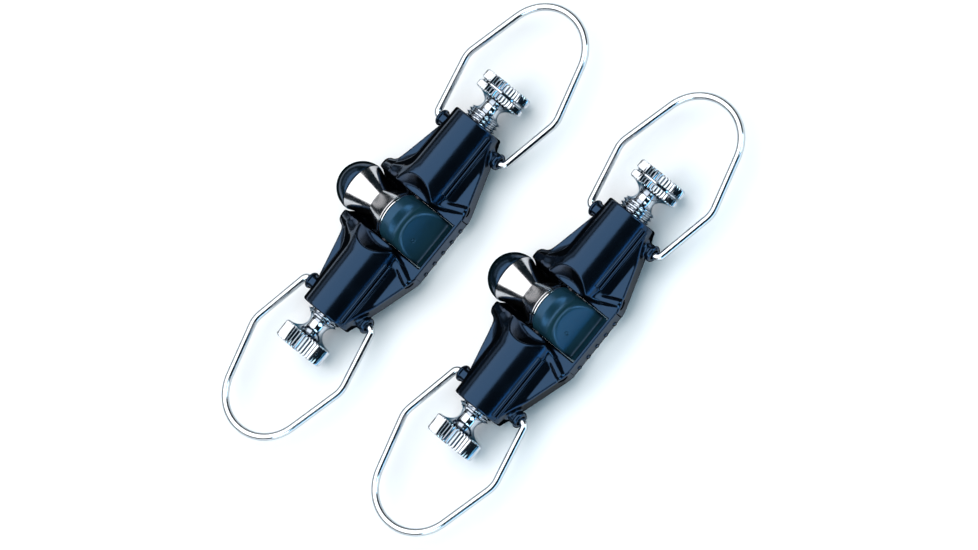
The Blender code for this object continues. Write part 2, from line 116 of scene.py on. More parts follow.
# trigger arm: a sloping face from FACE_TOP to FACE_BOTTOM, (y, z), and a moulding gate's ring on it, (x, z)
ARM_HALF, ARM_FRONT, ARM_BACK, ARM_BASE = 8.1, -1.4, 12.4, -6.8
ARM_NECK_Y, ARM_NECK_TOP, ARM_COLLAR_END, ARM_SHOULDER = 3.9, 6.4, 1.2, 0.6
FACE_TOP, FACE_BOTTOM = (6.6, 7.9), (12.4, -2.1)
ARM_SIDE_ROUNDING, ARM_BACK_ROUNDING, ARM_FRONT_ROUNDING, ARM_BASE_ROUNDING = 1.2, 0.4, 0.3, 0.8
AXLE_BORE, AXLE_BORE_END = 2.5, 5.6
SOCKET_RADIUS, SOCKET_START, ARM_BORE_ROUNDING = 1.58, 6, 0.3
GATE, GATE_RADIUS, GATE_HALF_WIDTH, GATE_DEPTH = (2.9, 3.1), 0.45, 0.18, 0.15

# roller, washer and domed nut, with distances along Y
ROLLER_FRONT, ROLLER_BACK, ROLLER_BORE = -17.7, -2.35, 2.5
ROLLER_RIM, ROLLER_RIM_WIDTH, ROLLER_RIM_ROUNDING, ROLLER_FRONT_ROUNDING = 8.1, 0.3, 0.1, 0.12
ROLLER_WAIST, ROLLER_WAIST_SPAN, ROLLER_SIDES = 4.8, (-9.5, -9.6), 128
WASHER_FRONT, WASHER_BACK, WASHER_BORE, WASHER_RADIUS = -2.05, -1.7, 2.6, 7.8
WASHER_ROUNDING, WASHER_SIDES = 0.1, 128
DOME_BACK, DOME_RADIUS, DOME_SKIRT, DOME_ROUNDING = -18.0, 8.1, 0.9, 0.25
DOME_BORE, DOME_BORE_DEPTH, DOME_SIDES = 2.5, 3.2, 96
DOME_STEPS, DOME_SKIRT_STEPS = 60, 7

# tension knobs: where the screw ends, the head starts and the head ends, and whether it has a groove
KNOB_RIGHT = (39.3, 45.5, 51.3, False)
KNOB_LEFT = (41.1, 46.4, 52.6, True)
SCREW_LENGTH, SCREW_RADIUS, SCREW_ROOT = 12.0, 5.5, 4.7
THREAD_PITCH, THREAD_DEPTH, THREAD_PEAK, THREAD_FLANK, STEPS_PER_PITCH = 1.27, 0.85, 1.2, 2.6, 12
SCREW_LEAD_IN, SCREW_RUN_OUT, SCREW_LAST_TURN = 0.9, 0.5, 0.1
NECK_RADIUS, NECK_PLACE, NECK_STEPS = 3.05, 0.46, 28
NECK_AT_SCREW, NECK_AT_HEAD, NECK_FLARE, NECK_SOFTNESS = 4.7, 7.7, 2.2, 0.85
HEAD_RADIUS, KNURLS, SIDES_PER_KNURL = 8.33, 44, 6
KNURL_DEPTH, KNURL_FLANK, KNURL_FLAT = 0.55, 1.5, 0.3
HEAD_INNER_BEVEL, HEAD_OUTER_BEVEL, HEAD_EDGE = 0.4, 0.45, 0.5
GROOVE_FROM_FACE = 3.4
GROOVE = [(-0.75, 0), (-0.5, 0.35), (-0.2, 0.95), (0.2, 0.95), (0.5, 0.35), (0.75, 0)]
FACE_RIM, FACE_DISH, FACE_DISH_CUTS = 1.2, 0.2, (1.5, 5.0)

# half a bail from its pivot, (x, y), with the radius of each bend
BAIL_CORNERS = [(0, 9.6), (0, 15.0), (20.3, 19.8), (48.9, 11.15)]
BAIL_BENDS = (1.8, 8.0, 14.8)
TIGHT_BEND, TIGHT_BEND_STEPS, WIDE_BEND_STEPS = 10, 10, 40
BAIL_STEP, BAIL_SIDES = 2, 24

# springs, between a plunger's head and the seat's face
PLUNGER_HEAD_END = 17.3
SEAT_FACES = {"right": 25.5, "left": 27.3}
SPRING_GAP, SPRING_RADIUS, SPRING_WIRE = 0.3, 4.1, 0.5
SPRING_TURNS, STEPS_PER_TURN, SPRING_SIDES = 4.5, 28, 12

# meshing: grid steps, and the lowest and highest corner of each field's grid
HOUSING_STEP, HOUSING_BOX = 0.34, ((-37.6, -17.4, -10.1), (37.6, 17.4, 9.2))
ARM_STEP, ARM_BOX = 0.24, ((-8.2, -2.1, -6.9), (8.2, 12.5, 8.2))
BAND, SLOPE_REACH, LEAST_SLOPE, PROJECTIONS = 3, 0.02, 0.05, 3
SHARP_ANGLE = 32

# nylon: its flow marks, grain, and a gloss tinted blue as a painted reflection of blue light, which goes out at
# grazing angles
FLOW_MARKS = {"Scale": 130.0, "Detail": 4.0, "Distortion": 0.6}
GRAIN_DETAIL, GRAIN_DEPTH = 2.0, 0.00012
NYLON_IOR, NYLON_GLOSS, PAINTED_BLUE_REFLECTION_TINT = 1.7, 0.5, (0.25, 0.53, 1.0, 1)

# metal: its tool marks, its patches of duller polish, and a dark teal edge tint that paints reflection and shade
# at grazing angles
MARK_DETAIL, MARK_DEPTH = 3.0, 0.00003
WEAR_PATCHES, WEAR_SPAN = {"Scale": 240.0, "Detail": 3.0}, (0.35, 0.7)
PAINTED_EDGE_REFLECTION_TINT = (0.0, 0.08, 0.14, 1)

# floor and world
FLOOR_HALF, FLOOR_COLOUR, FLOOR_ROUGHNESS = 3, (0.94, 0.95, 0.95), 0.9
WORLD_COLOUR, WORLD_STRENGTH = (0.3, 0.6, 0.9, 1), 0.02

# soft boxes: name, place, aim, size, power in watts, colour
WHITE, PALE_BLUE, BLUE = (0.97, 0.98, 1.0), (0.62, 0.87, 1.0), (0.2, 0.6, 1.0)
LIGHTS = [
    ("overhead", (0.8, -1.08, 2.35), (0.8, -1.07, 0), (6.0, 3.85), 164, WHITE),
    ("far rim", (0.0, 1.6, 0.13), (0, 0, 0), (2.4, 0.24), 6.5, BLUE),
    ("low strip", (0.0, -2.74, 1.22), (0, 0, 0), (4.0, 0.6), 5, WHITE),
    ("end fill", (-1.9, 1.5, 1.1), (0, 0, 0), (1.3, 1.5), 26, PALE_BLUE),
    ("end fill", (1.9, 1.5, 1.1), (0, 0, 0), (1.3, 1.5), 26, PALE_BLUE),
]

# camera: aimed at a point given from clip A's origin, turned about Z, leant from the vertical, then rolled
CAMERA_AIM, CAMERA_DISTANCE = (-3.63, 35.589, 0), 2000.14
CAMERA_TURN, CAMERA_LEAN, CAMERA_ROLL = 181.759, 28.4745, -52.82
CAMERA_LENS, CAMERA_SENSOR, CAMERA_CLIP = 242.9, 36, (0.1, 20)


def smooth_min(a, b, blend):
    """The lower of two fields, with a fillet about as wide as blend where they meet."""
    share = np.clip(0.5 + 0.5 * (b - a) / blend, 0, 1)
    return b + (a - b) * share - blend * share * (1 - share)


def smooth_max(a, b, blend):
    """The higher of two fields, with a rounded edge about as wide as blend where they meet."""
    return -smooth_min(-a, -b, blend)


def ramp(value, low, high):
    """0 below low, 1 above high and smooth between."""
    share = np.clip((value - low) / (high - low), 0, 1)
    return share * share * (3 - 2 * share)


def polygon_distance(x, y, corners):
    """Signed distance in a plane to a closed outline, negative inside."""
    nearest, inside = np.inf, False
    for (ax, ay), (bx, by) in zip(corners, corners[1:] + corners[:1]):
        length_squared = (bx - ax) ** 2 + (by - ay) ** 2
        along = np.clip(((x - ax) * (bx - ax) + (y - ay) * (by - ay)) / length_squared, 0, 1)
        off_x, off_y = x - ax - along * (bx - ax), y - ay - along * (by - ay)
        nearest = np.minimum(nearest, off_x ** 2 + off_y ** 2)
        side = (x - ax) * (by - ay) - (y - ay) * (bx - ax)
        inside = inside ^ (((ay <= y) != (by <= y)) & ((side < 0) == (by > ay)))
    return np.where(inside, -1, 1) * np.sqrt(nearest)


def eased(corners, times=2, most=0.25, length=1.2):
    """An outline with its corners cut and cut again, by a length but at most by a share of the edge."""
    for _ in range(times):
        cut = []
        for (ax, ay), (bx, by) in zip(corners, corners[1:] + corners[:1]):
            reach = min(most, length / math.hypot(bx - ax, by - ay))
            cut.append((ax + reach * (bx - ax), ay + reach * (by - ay)))
            cut.append((bx + reach * (ax - bx), by + reach * (ay - by)))
        corners = cut
    return corners


EASED_OUTLINE = eased(FLANGE_OUTLINE)


def slab(x, y, z, low, high):
    """A box, sharp inside and out."""
    past_x, past_y, past_z = (np.maximum(lo - p, p - hi) for p, lo, hi in zip((x, y, z), low, high))
    return np.maximum(np.maximum(past_x, past_y), past_z)


def ridge_field(line, a, y, z):
    """A round ridge along a line of (place, radius) points."""
    nearest = np.inf
    for (start, wide), (end, narrow) in zip(line, line[1:]):
        along = [e - s for s, e in zip(start, end)]
        off = [p - s for p, s in zip((a, y, z), start)]
        share = np.clip(sum(o * d for o, d in zip(off, along)) / sum(d * d for d in along), 0, 1)
        gap = np.sqrt(sum((o - share * d) ** 2 for o, d in zip(off, along)))
        nearest = np.minimum(nearest, gap - wide - (narrow - wide) * share)
    return nearest


def barrel_field(a, y, z):
    """The barrels and the feet under them."""
    round_barrel = np.hypot(y, z) - (BARREL_RADIUS - BARREL_TAPER * (a - BARREL_INNER))
    barrel = smooth_max(round_barrel, a - BARREL_END, BARREL_ROUNDING)
    low = (FOOT_SPAN[0], -FOOT_HALF_WIDTH, -FOOT_DEPTH)
    high = (FOOT_SPAN[1], FOOT_HALF_WIDTH, FOOT_TOP)
    return smooth_min(barrel, slab(a, y, z, low, high), FOOT_FILLET)


def flange_field(a, y, z):
    """The plate round the barrels."""
    horn_fall = HORN_SLOPE * np.maximum(0, -y - HORN_SLOPE_START)
    top = FLANGE_TOP - FLANGE_FALL * ramp(y, *FLANGE_FALL_SPAN) - horn_fall
    thickness = np.maximum(z - top, FLANGE_BOTTOM - z)
    plate = smooth_max(polygon_distance(a, y, EASED_OUTLINE), thickness, FLANGE_ROUNDING)
    return np.maximum(plate, a - BARREL_END + FLANGE_SETBACK)


def bowl_cut(x, y, z):
    """The round hollow about the trigger."""
    flare = (BOWL_RIM_RADIUS - BOWL_FLOOR_RADIUS) * (z - BOWL_FLOOR) / BOWL_HEIGHT
    wall = BOWL_SLANT * (np.hypot(x, y - BOWL_Y) - BOWL_FLOOR_RADIUS - flare)
    return smooth_max(wall, BOWL_FLOOR - z, BOWL_FILLET)


def recess_cut(a, y, z):
    """The shallow recess beside the slot, which spreads towards the back."""
    floor_edge = RECESS_FLOOR_EDGE + RECESS_FLOOR_SPREAD * (y - RECESS_FRONT)
    top_edge = RECESS_TOP_EDGE + RECESS_TOP_SPREAD * (y - RECESS_FRONT)
    flare = (top_edge - floor_edge) * (z - RECESS_FLOOR) / RECESS_HEIGHT
    wall = RECESS_SLANT * (a - floor_edge - flare)
    return smooth_max(np.maximum(RECESS_FRONT - y, RECESS_FLOOR - z), wall, RECESS_FILLET)


def slot_cut(x, y, z):
    """The round trough for the roller, and the slot right through for the arm."""
    a = np.abs(x)
    trough = np.where(z > 0, a, np.hypot(x, z)) - SLOT_HALF
    through = slab(a, y, z, (PAST_MIDDLE, SADDLE_BACK, -FAR), (SLOT_HALF, SLOT_BACK, FAR))
    return np.minimum(np.maximum(trough, y - SLOT_BACK), through)


def rib_cut(x, y, z):
    """The panels between the ribs in the back wall."""
    a = np.abs(x)
    off_rib = np.abs((x / RIB_SPACING + 0.5) % 1 - 0.5) * RIB_SPACING
    rib = np.maximum(off_rib - RIB_HALF, np.maximum(z - RIB_TOP, a - RIBS_END))
    panel = np.maximum(PANEL_FRONT - y, a - PANEL_HALF)
    return smooth_max(panel, -rib, RIB_FILLET)


def housing_field(x, y, z):
    """The moulded body."""
    a = np.abs(x)
    horn_share = ramp(-y, *HORN_FILLET_Y) * (1 - ramp(a, *HORN_FILLET_X))
    body = smooth_min(barrel_field(a, y, z), flange_field(a, y, z), FLANGE_FILLET + HORN_FILLET * horn_share)
    body = smooth_min(body, ridge_field(RIDGE, a, y, z), RIDGE_FILLET)
    body = smooth_min(body, ridge_field(WEB, a, y, z), WEB_FILLET)
    saddle = slab(a, y, z, (PAST_MIDDLE, SADDLE_FRONT, -SADDLE_DEPTH), (SADDLE_HALF, SADDLE_BACK, 0))
    body = smooth_min(body, saddle, SADDLE_FILLET)
    for bead_y, bead_z in BEADS:
        off_bead = np.hypot(y - bead_y, z - bead_z) - BEAD_RADIUS
        bead = smooth_max(off_bead, np.abs(a - BEAD_MIDDLE) - BEAD_HALF_LENGTH, BEAD_ROUNDING)
        body = smooth_min(body, bead, BEAD_FILLET)
    body = smooth_max(body, -bowl_cut(x, y, z), BOWL_ROUNDING)
    body = smooth_max(body, -recess_cut(a, y, z), RECESS_ROUNDING)
    body = smooth_max(body, -slot_cut(x, y, z), SLOT_ROUNDING)
    body = smooth_max(body, -rib_cut(x, y, z), PANEL_ROUNDING)

    off_pivot = np.hypot(a - PIVOT_X, z - PIVOT_Z)
    neck_start, neck_end = EYELET_NECK_SPAN
    eyelet_radius = EYELET_RADIUS - EYELET_NECK * ramp(-np.abs(y), -neck_end, -neck_start)
    eyelet = smooth_max(off_pivot - eyelet_radius, np.abs(y) - EYELET_FACE, EYELET_ROUNDING)
    body = smooth_min(body, eyelet, EYELET_FILLET)
    eyelet_hole = np.maximum(off_pivot - WIRE_RADIUS - EYELET_HOLE_GAP, EYELET_HOLE_END - np.abs(y))
    body = smooth_max(body, -eyelet_hole, EYELET_HOLE_ROUNDING)

    screw_bore = np.maximum(np.hypot(y, z) - SCREW_BORE, SCREW_BORE_START - a)
    nose_bore = np.maximum(np.hypot(y, z) - NOSE_BORE, NOSE_BORE_START - a)
    body = smooth_max(body, -np.minimum(screw_bore, nose_bore), BORE_ROUNDING)
    return smooth_max(body, -FOOT_DEPTH - z, FOOT_ROUNDING)


def arm_field(x, y, z):
    """The rocking block that carries the roller."""
    (top_y, top_z), (bottom_y, bottom_z) = FACE_TOP, FACE_BOTTOM
    dip_in = ramp(y, ARM_COLLAR_END, ARM_NECK_Y)
    dip_out = 1 - ramp(y, ARM_NECK_Y, top_y + ARM_SHOULDER)
    top = ARM_HALF - (ARM_HALF - ARM_NECK_TOP) * np.where(y < ARM_NECK_Y, dip_in, dip_out)
    arch = (np.hypot(x / ARM_HALF, np.maximum(z, 0) / top) - 1) * ARM_HALF
    rise, run = top_z - bottom_z, bottom_y - top_y
    face = ((y - top_y) * rise + (z - top_z) * run) / math.hypot(rise, run)
    body = smooth_max(arch, smooth_max(face, y - ARM_BACK, ARM_BACK_ROUNDING), ARM_SIDE_ROUNDING)
    body = smooth_max(body, ARM_FRONT - y, ARM_FRONT_ROUNDING)
    body = smooth_max(body, ARM_BASE - z, ARM_BASE_ROUNDING)
    axle_bore = np.maximum(np.hypot(x, z) - AXLE_BORE, y - AXLE_BORE_END)
    sockets = np.maximum(np.hypot(y, z) - SOCKET_RADIUS, SOCKET_START - np.abs(x))
    body = smooth_max(body, -np.minimum(axle_bore, sockets), ARM_BORE_ROUNDING)
    off_gate = np.sqrt((x - GATE[0]) ** 2 + (z - GATE[1]) ** 2)
    ring = np.abs(off_gate - GATE_RADIUS) - GATE_HALF_WIDTH
    return smooth_max(body, -np.maximum(ring, np.abs(face) - GATE_DEPTH), GATE_DEPTH)


def meshed(name, field, low, high, step):
    """A mesh of the surface where a field is zero, with its vertices moved onto it and its own normals."""
    axes = [np.arange(start - BAND * step, end + (BAND + 1) * step, step) for start, end in zip(low, high)]
    places = np.meshgrid(*axes, indexing="ij", sparse=True)
    values = np.broadcast_to(field(*places), [len(axis) for axis in axes])
    grid = openvdb.FloatGrid(BAND * step)
    grid.copyFromArray(np.clip(values, -BAND * step, BAND * step).astype(np.float32))
    points, quads = grid.convertToQuads()
    points = points * step + [axis[0] for axis in axes]
    for _ in range(PROJECTIONS):
        here = field(*points.T)
        nearby = [field(*(points + SLOPE_REACH * shift).T) for shift in np.eye(3)]
        slope = np.stack([(value - here) / SLOPE_REACH for value in nearby], 1)
        points -= slope * (here / np.maximum((slope ** 2).sum(1), LEAST_SLOPE))[:, None]
    mesh = bpy.data.meshes.new(name)
    mesh.from_pydata((points * MM).tolist(), [], quads.tolist())
    mesh.shade_smooth()
    normals = slope / np.linalg.norm(slope, axis=1)[:, None]
    mesh.normals_split_custom_set_from_vertices(normals.tolist())
    return mesh


def grid_mesh(name, rings, looped=False):
    """A mesh from rings of equally many points, each ring joined to the next.

    A looped mesh joins its last ring to its first, and any other is closed at both ends.
    """
    rings = np.asarray(rings)
    count, around = rings.shape[:2]
    faces = []
    for i in range(count if looped else count - 1):
        here, there = i * around, (i + 1) % count * around
        for k in range(around):
            after = (k + 1) % around
            faces.append((here + k, here + after, there + after, there + k))
    if not looped:
        faces.append(tuple(range(around))[::-1])
        faces.append(tuple(range((count - 1) * around, count * around)))
    mesh = bpy.data.meshes.new(name)
    mesh.from_pydata((rings.reshape(-1, 3) * MM).tolist(), [], faces)
    bm = bmesh.new()
    bm.from_mesh(mesh)
    bmesh.ops.recalc_face_normals(bm, faces=bm.faces)
    bm.to_mesh(mesh)
    bm.free()
    mesh.shade_smooth()
    mesh.set_sharp_from_angle(angle=math.radians(SHARP_ANGLE))
    return mesh


def angles_round(sides):
    """Evenly spaced angles round a circle."""
    return np.arange(sides) * 2 * math.pi / sides


def lathed(name, profile, sides, looped=False):
    """A piece turned about Y, from (distance along Y, radius) points."""
    turns = angles_round(sides)
    rings = []
    for along, radius in profile:
        rings.append(np.stack([radius * np.cos(turns), np.full(sides, along), radius * np.sin(turns)], 1))
    return grid_mesh(name, rings, looped=looped)


def rounded_profile(corners, radius, steps=3, most=1 / 2.2):
    """A profile with each inner corner rounded, by at most a share of the edges beside it."""
    out = [corners[0]]
    for before, corner, after in zip(corners, corners[1:], corners[2:]):
        b, c, a = (np.array(p, float) for p in (before, corner, after))
        back, on = b - c, a - c
        cut = min(radius, np.linalg.norm(back) * most, np.linalg.norm(on) * most)
        start, end = c + back / np.linalg.norm(back) * cut, c + on / np.linalg.norm(on) * cut
        for i in range(steps + 1):
            t = i / steps
            out.append(tuple((1 - t) ** 2 * start + 2 * t * (1 - t) * c + t * t * end))
    return out + [corners[-1]]


def roller_mesh():
    """The V roller with crisp rims and a sharp waist."""
    waist_back, waist_front = ROLLER_WAIST_SPAN
    back = [(ROLLER_BACK, ROLLER_BORE), (ROLLER_BACK, ROLLER_RIM),
            (ROLLER_BACK - ROLLER_RIM_WIDTH, ROLLER_RIM), (waist_back, ROLLER_WAIST)]
    front = [(waist_front, ROLLER_WAIST), (ROLLER_FRONT, ROLLER_RIM), (ROLLER_FRONT, ROLLER_BORE)]
    profile = rounded_profile(back, ROLLER_RIM_ROUNDING) + rounded_profile(front, ROLLER_FRONT_ROUNDING)
    return lathed("roller", profile, ROLLER_SIDES, looped=True)


def washer_mesh():
    """The bright washer between the arm and the roller."""
    profile = [(WASHER_FRONT, WASHER_BORE), (WASHER_FRONT, WASHER_RADIUS),
               (WASHER_BACK, WASHER_RADIUS), (WASHER_BACK, WASHER_BORE)]
    return lathed("thrust_washer", rounded_profile(profile, WASHER_ROUNDING), WASHER_SIDES, looped=True)


def dome_mesh():
    """The domed nut, with its blind bore."""
    bore_end = DOME_BACK - DOME_BORE_DEPTH
    rim = [(DOME_BACK, DOME_BORE), (DOME_BACK, DOME_RADIUS), (DOME_BACK - DOME_SKIRT, DOME_RADIUS - AXIS_GAP)]
    profile = [(bore_end, AXIS_GAP), (bore_end, DOME_BORE), (DOME_BACK, DOME_BORE)]
    profile += rounded_profile(rim, DOME_ROUNDING, 4)[1:]
    for i in range(DOME_SKIRT_STEPS, DOME_STEPS):
        turn = math.pi / 2 * i / DOME_STEPS
        profile.append((DOME_BACK - DOME_RADIUS * math.sin(turn), DOME_RADIUS * math.cos(turn)))
    profile.append((DOME_BACK - DOME_RADIUS, AXIS_GAP))
    return lathed("dome_cap", profile, DOME_SIDES)


def screw_stations(screw_end, turns):
    """The screw's (place, radii) along X, with a helical thread cut into it."""
    start = screw_end - SCREW_LENGTH
    steps = int(SCREW_LENGTH / THREAD_PITCH * STEPS_PER_PITCH)
    stations = [(start, AXIS_GAP)]
    for i in range(steps + 1):
        along = start + SCREW_LENGTH * i / steps
        phase = ((along - screw_end) / THREAD_PITCH - turns / (2 * math.pi)) % 1
        cut = THREAD_DEPTH * np.clip(THREAD_PEAK - np.abs(phase - 0.5) * THREAD_FLANK, 0, 1)
        lead_in = (along - start) / SCREW_LEAD_IN
        run_out = (screw_end - along) / SCREW_RUN_OUT + SCREW_LAST_TURN
        full = np.clip(min(lead_in, run_out), 0, 1)
        outer = SCREW_ROOT + (SCREW_RADIUS - SCREW_ROOT) * full
        stations.append((along, np.minimum(SCREW_RADIUS - cut, outer)))
    return stations


def neck_stations(screw_end, head_start):
    """The waisted neck's (place, radius) along X, between screw and head."""
    stations = []
    for i in range(1, NECK_STEPS + 1):
        share = i / NECK_STEPS
        if share > NECK_PLACE:
            lean, reach = (share - NECK_PLACE) / (1 - NECK_PLACE), NECK_AT_HEAD
        else:
            lean, reach = (NECK_PLACE - share) / NECK_PLACE, NECK_AT_SCREW
        rise = (1 - math.sqrt(max(0, 1 - lean ** NECK_FLARE))) ** NECK_SOFTNESS
        along = screw_end + (head_start - screw_end) * share
        stations.append((along, NECK_RADIUS + (reach - NECK_RADIUS) * rise))
    return stations


def head_stations(head_start, head_end, grooved, turns):
    """The knurled head's (place, radii) along X, and its dished face."""
    ridge = np.abs(np.modf(turns * KNURLS / (2 * math.pi))[0] - 0.5) * 2
    knurl = HEAD_RADIUS - KNURL_DEPTH * np.clip(KNURL_FLANK * ridge - KNURL_FLAT, 0, 1)
    cuts = [(head_start, KNURL_DEPTH), (head_start + HEAD_INNER_BEVEL, 0)]
    if grooved:
        cuts += [(head_end - GROOVE_FROM_FACE + off, cut) for off, cut in GROOVE]
    cuts += [(head_end - HEAD_OUTER_BEVEL, 0), (head_end, HEAD_EDGE)]
    stations = [(along, np.minimum(knurl, HEAD_RADIUS - cut)) for along, cut in cuts]
    stations.append((head_end, HEAD_RADIUS - FACE_RIM))
    stations += [(head_end - FACE_DISH, HEAD_RADIUS - cut) for cut in FACE_DISH_CUTS]
    stations.append((head_end - FACE_DISH, AXIS_GAP))
    return stations


def knob_mesh(name, screw_end, head_start, head_end, grooved):
    """Threaded screw, waisted neck and knurled head along +X."""
    sides = KNURLS * SIDES_PER_KNURL
    turns = angles_round(sides)
    stations = screw_stations(screw_end, turns) + neck_stations(screw_end, head_start)
    stations += head_stations(head_start, head_end, grooved, turns)
    rings = []
    for along, radii in stations:
        rings.append(np.stack([np.full(sides, along), radii * np.cos(turns), radii * np.sin(turns)], 1))
    return grid_mesh(name, rings)


def swept(name, path, radius, sides, up):
    """A round wire along a path that runs across the direction up."""
    turns, rings = angles_round(sides), []
    for i, point in enumerate(path):
        along = (path[min(i + 1, len(path) - 1)] - path[max(i - 1, 0)]).normalized()
        side = up.cross(along).normalized()
        ring = np.cos(turns)[:, None] * np.array(side) + np.sin(turns)[:, None] * np.array(along.cross(side))
        rings.append(np.array(point) + radius * ring)
    return grid_mesh(name, rings)


def bail_mesh():
    """The bent wire about its pivot, with its ends turned in."""
    corners = [Vector((x, y, 0)) for x, y in BAIL_CORNERS]
    corners += [Vector((x, -y, 0)) for x, y in reversed(BAIL_CORNERS)]
    bends = BAIL_BENDS + BAIL_BENDS[::-1]
    path = [corners[0]]
    for before, corner, after, radius in zip(corners, corners[1:], corners[2:], bends):
        inward, outward = (before - corner).normalized(), (after - corner).normalized()
        half = inward.angle(outward) / 2
        centre = corner + (inward + outward).normalized() * radius / math.sin(half)
        start = corner + inward * radius / math.tan(half) - centre
        end = corner + outward * radius / math.tan(half) - centre
        steps = TIGHT_BEND_STEPS if radius < TIGHT_BEND else WIDE_BEND_STEPS
        path += [centre + radius * start.slerp(end, i / steps).normalized() for i in range(steps + 1)]
    path.append(corners[-1])
    dense = [path[0]]
    for a, b in zip(path, path[1:]):
        count = max(1, int((b - a).length / BAIL_STEP))
        dense += [a.lerp(b, (i + 1) / count) for i in range(count)]
    return swept("bail", dense, WIRE_RADIUS, BAIL_SIDES, Vector((0, 0, 1)))


def spring_mesh(seat_face):
    """A compression spring along +X, between the plunger's head and its seat."""
    clear = SPRING_WIRE + SPRING_GAP
    start, end = PLUNGER_HEAD_END + clear, seat_face - clear
    steps = int(SPRING_TURNS * STEPS_PER_TURN)
    path = []
    for i in range(steps + 1):
        turn = 2 * math.pi * SPRING_TURNS * i / steps
        along = start + (end - start) * i / steps
        path.append(Vector((along, SPRING_RADIUS * math.cos(turn), SPRING_RADIUS * math.sin(turn))))
    return swept("spring", path, SPRING_WIRE, SPRING_SIDES, Vector((1, 0, 0)))


def new_look(name, base, roughness, metallic):
    """A Principled material, with its node tree and its shader."""
    look = bpy.data.materials.new(name)
    look.use_nodes = True
    tree = look.node_tree
    shader = tree.nodes["Principled BSDF"]
    shader.inputs["Base Color"].default_value = (*base, 1)
    shader.inputs["Roughness"].default_value = roughness
    shader.inputs["Metallic"].default_value = metallic
    return look, tree, shader


def add(tree, kind, values=(), **settings):
    """A new node with the given socket values and settings."""
    node = tree.nodes.new(kind)
    for key, value in settings.items():
        setattr(node, key, value)
    for key, value in dict(values).items():
        node.inputs[key].default_value = value
    return node


def plastic(name, dark, light, smooth, rough, grain, bump, fade):
    """Moulded nylon with faint flow marks, a fine grain, and a gloss tinted blue as a painted reflection of blue
    light, which fades at grazing angles.
    """
    look, tree, shader = new_look(name, dark, smooth, 0.0)
    link = tree.links.new
    place = add(tree, "ShaderNodeTexCoord").outputs["Object"]
    flow = add(tree, "ShaderNodeTexNoise", FLOW_MARKS)
    fine = add(tree, "ShaderNodeTexNoise", {"Scale": grain, "Detail": GRAIN_DETAIL})
    colour = add(tree, "ShaderNodeMix", data_type="RGBA")
    colour.inputs["A"].default_value, colour.inputs["B"].default_value = (*dark, 1), (*light, 1)
    gloss = add(tree, "ShaderNodeMapRange", {"To Min": smooth, "To Max": rough})
    relief = add(tree, "ShaderNodeBump", {"Strength": bump, "Distance": GRAIN_DEPTH})
    turn_away = add(tree, "ShaderNodeLayerWeight", {"Blend": 0.5})
    ends = {"From Min": fade[0], "From Max": fade[1], "To Min": NYLON_GLOSS, "To Max": 0.0}
    dull_edge = add(tree, "ShaderNodeMapRange", ends)
    shader.inputs["IOR"].default_value = NYLON_IOR
    # the blue specular tint is a painted reflection of blue light
    shader.inputs["Specular Tint"].default_value = PAINTED_BLUE_REFLECTION_TINT
    link(turn_away.outputs["Facing"], dull_edge.inputs["Value"])
    link(dull_edge.outputs["Result"], shader.inputs["Specular IOR Level"])
    link(place, flow.inputs["Vector"])
    link(place, fine.inputs["Vector"])
    link(flow.outputs["Fac"], colour.inputs["Factor"])
    link(flow.outputs["Fac"], gloss.inputs["Value"])
    link(fine.outputs["Fac"], relief.inputs["Height"])
    link(colour.outputs["Result"], shader.inputs["Base Color"])
    link(gloss.outputs["Result"], shader.inputs["Roughness"])
    link(relief.outputs["Normal"], shader.inputs["Normal"])
    return look


def metal(name, base, smooth, rough, stretch, scale, bump):
    """Polished or drawn metal: fine tool marks that run round or along, patches of duller polish, and a painted
    dark teal reflection and shade at grazing angles.
    """
    look, tree, shader = new_look(name, base, smooth, 1.0)
    link = tree.links.new
    place = add(tree, "ShaderNodeTexCoord").outputs["Object"]
    squeeze = add(tree, "ShaderNodeMapping", {"Scale": stretch})
    marks = add(tree, "ShaderNodeTexNoise", {"Scale": scale, "Detail": MARK_DETAIL})
    wear = add(tree, "ShaderNodeTexNoise", WEAR_PATCHES)
    ends = {"From Min": WEAR_SPAN[0], "From Max": WEAR_SPAN[1], "To Min": smooth, "To Max": rough}
    gloss = add(tree, "ShaderNodeMapRange", ends)
    relief = add(tree, "ShaderNodeBump", {"Strength": bump, "Distance": MARK_DEPTH})
    # the dark teal edge tint is a painted reflection and shade at grazing angles
    shader.inputs["Specular Tint"].default_value = PAINTED_EDGE_REFLECTION_TINT
    link(place, squeeze.inputs["Vector"])
    link(squeeze.outputs["Vector"], marks.inputs["Vector"])
    link(place, wear.inputs["Vector"])
    link(wear.outputs["Fac"], gloss.inputs["Value"])
    link(marks.outputs["Fac"], relief.inputs["Height"])
    link(gloss.outputs["Result"], shader.inputs["Roughness"])
    link(relief.outputs["Normal"], shader.inputs["Normal"])
    return look


# darker and lighter colour, least and most roughness, the grain's scale and strength, where the gloss fades
PLASTICS = {
    "housing_nylon": ((0.0008, 0.0012, 0.0018), (0.0016, 0.0024, 0.0036), 0.15, 0.24, 2200, 0.08,
                      (0.52, 0.58)),
    # the arm nylon's teal colours, far lighter than the housing's, are painted teal light
    "arm_nylon": ((0.0055, 0.024, 0.036), (0.010, 0.040, 0.058), 0.28, 0.38, 3000, 0.35, (0.38, 0.51)),
    "cap_nylon": ((0.0010, 0.003, 0.004), (0.0018, 0.005, 0.007), 0.16, 0.22, 2600, 0.04, (0.50, 0.58)),
}
